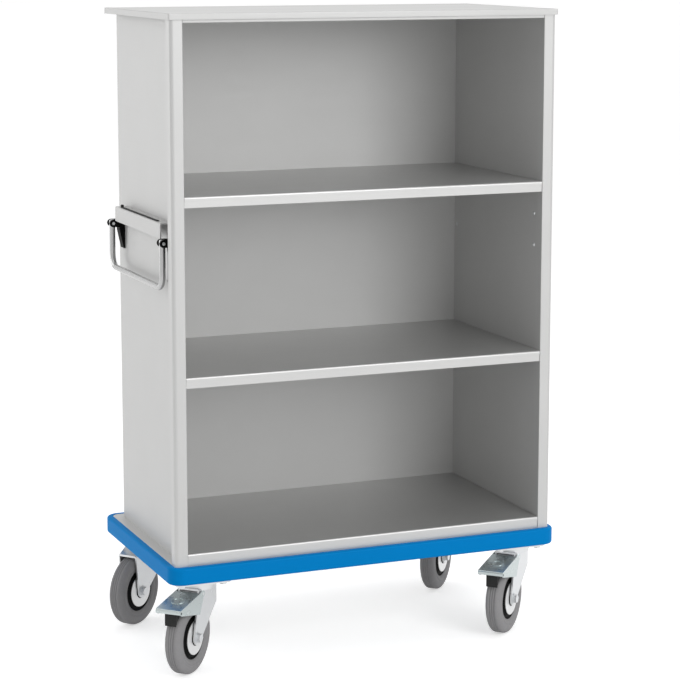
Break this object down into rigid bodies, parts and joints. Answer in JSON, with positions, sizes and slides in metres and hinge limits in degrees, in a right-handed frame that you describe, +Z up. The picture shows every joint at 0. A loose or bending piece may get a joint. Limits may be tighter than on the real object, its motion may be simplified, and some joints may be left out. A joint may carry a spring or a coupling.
{
  "type": "open-front cabinet trolley",
  "caption": "Tall open-front cabinet trolley with shelves, folded metal panels, a bumper strip round its base, swivel castors with brakes in front and a fold-down push handle.",
  "frame": {"origin": "on the floor, under the middle of the base tray", "axes": "+Z up, -Y towards the open front, +X to the right as seen from the front, so the handle is on the -X side"},
  "size_m": [1.0786, 0.6315, 1.5895],
  "materials": {
    "panel_grey": "satin anodised sheet",
    "shelf_grey": "satin anodised sheet",
    "post_silver": "anodised extrusion",
    "bumper_blue": "smooth moulded strip",
    "zinc_steel": "bright zinc plate",
    "pedal_steel": "zinc-plated pressed steel",
    "handle_steel": "zinc-plated tube",
    "black_plastic": "moulded",
    "black_rubber": "matt",
    "grey_tyre": "matt solid rubber",
    "hub_silver": "pressed disc"
  },
  "bodies": {
    "cabinet": {"base_tray": "panel_grey", "bumper_strip": "bumper_blue", "castor_rail_left": "zinc_steel", "castor_rail_right": "zinc_steel", "floor_panel": "shelf_grey", "left_wall": "panel_grey", "right_wall": "panel_grey", "back_panel": "panel_grey", "front_post_left": "post_silver", "front_post_right": "post_silver", "ceiling_panel": "panel_grey", "top_cap": "panel_grey", "lower_shelf": "shelf_grey", "upper_shelf": "shelf_grey", "shelf_pins": "zinc_steel", "socket_buttons": "zinc_steel", "handle_bracket": "panel_grey", "bracket_strip": "black_rubber", "handle_blocks": "black_plastic", "handle_pins": "zinc_steel", "castor_bolts": "zinc_steel", "kingpins": "zinc_steel", "ball_rings": "zinc_steel", "castor_plate_fl": "zinc_steel", "castor_plate_fr": "zinc_steel", "castor_plate_rl": "zinc_steel", "castor_plate_rr": "zinc_steel"},
    "handle": {"handle_bail": "handle_steel"},
    "fork_front_left": {"fork_fl": "zinc_steel", "axle_fl": "zinc_steel", "pedal_pin_fl": "zinc_steel"},
    "wheel_front_left": {"tyre_fl": "grey_tyre", "rim_fl": "black_plastic", "bearing_fl": "zinc_steel", "hub_caps_fl": "hub_silver"},
    "pedal_front_left": {"brake_pedal_fl": "pedal_steel", "brake_shoe_fl": "black_rubber"},
    "fork_front_right": {"fork_fr": "zinc_steel", "axle_fr": "zinc_steel", "pedal_pin_fr": "zinc_steel"},
    "wheel_front_right": {"tyre_fr": "grey_tyre", "rim_fr": "black_plastic", "bearing_fr": "zinc_steel", "hub_caps_fr": "hub_silver"},
    "pedal_front_right": {"brake_pedal_fr": "pedal_steel", "brake_shoe_fr": "black_rubber"},
    "fork_rear_left": {"fork_rl": "zinc_steel", "axle_rl": "zinc_steel"},
    "wheel_rear_left": {"tyre_rl": "grey_tyre", "rim_rl": "black_plastic", "bearing_rl": "zinc_steel", "hub_caps_rl": "hub_silver"},
    "fork_rear_right": {"fork_rr": "zinc_steel", "axle_rr": "zinc_steel"},
    "wheel_rear_right": {"tyre_rr": "grey_tyre", "rim_rr": "black_plastic", "bearing_rr": "zinc_steel", "hub_caps_rr": "hub_silver"}
  },
  "joints": [
    {"name": "handle_fold", "type": "hinge", "parent": "cabinet", "child": "handle", "pos_m": [-0.505, 0.001, 1.047], "axis": [0, 1, 0], "range_deg": [0, 90]},
    {"name": "swivel_front_left", "type": "hinge", "parent": "cabinet", "child": "fork_front_left", "pos_m": [-0.427, -0.212, 0.21], "axis": [0, 0, 1], "continuous": true},
    {"name": "wheel_spin_front_left", "type": "hinge", "parent": "fork_front_left", "child": "wheel_front_left", "pos_m": [-0.46636, -0.25041, 0.09], "axis": [0.6984, -0.7157, 0], "continuous": true},
    {"name": "brake_press_front_left", "type": "hinge", "parent": "fork_front_left", "child": "pedal_front_left", "pos_m": [-0.45133, -0.23575, 0.195], "axis": [0.6984, -0.7157, 0], "range_deg": [0, 6]},
    {"name": "swivel_front_right", "type": "hinge", "parent": "cabinet", "child": "fork_front_right", "pos_m": [0.427, -0.212, 0.21], "axis": [0, 0, 1], "continuous": true},
    {"name": "wheel_spin_front_right", "type": "hinge", "parent": "fork_front_right", "child": "wheel_front_right", "pos_m": [0.38678, -0.24951, 0.09], "axis": [0.682, -0.7314, 0], "continuous": true},
    {"name": "brake_press_front_right", "type": "hinge", "parent": "fork_front_right", "child": "pedal_front_right", "pos_m": [0.40213, -0.23519, 0.195], "axis": [0.682, -0.7314, 0], "range_deg": [0, 6]},
    {"name": "swivel_rear_left", "type": "hinge", "parent": "cabinet", "child": "fork_rear_left", "pos_m": [-0.427, 0.212, 0.21], "axis": [0, 0, 1], "continuous": true},
    {"name": "wheel_spin_rear_left", "type": "hinge", "parent": "fork_rear_left", "child": "wheel_rear_left", "pos_m": [-0.47034, 0.17814, 0.09], "axis": [0.6157, -0.788, 0], "continuous": true},
    {"name": "swivel_rear_right", "type": "hinge", "parent": "cabinet", "child": "fork_rear_right", "pos_m": [0.427, 0.212, 0.21], "axis": [0, 0, 1], "continuous": true},
    {"name": "wheel_spin_rear_right", "type": "hinge", "parent": "fork_rear_right", "child": "wheel_rear_right", "pos_m": [0.38949, 0.17178, 0.09], "axis": [0.7314, -0.682, 0], "continuous": true}
  ]
}
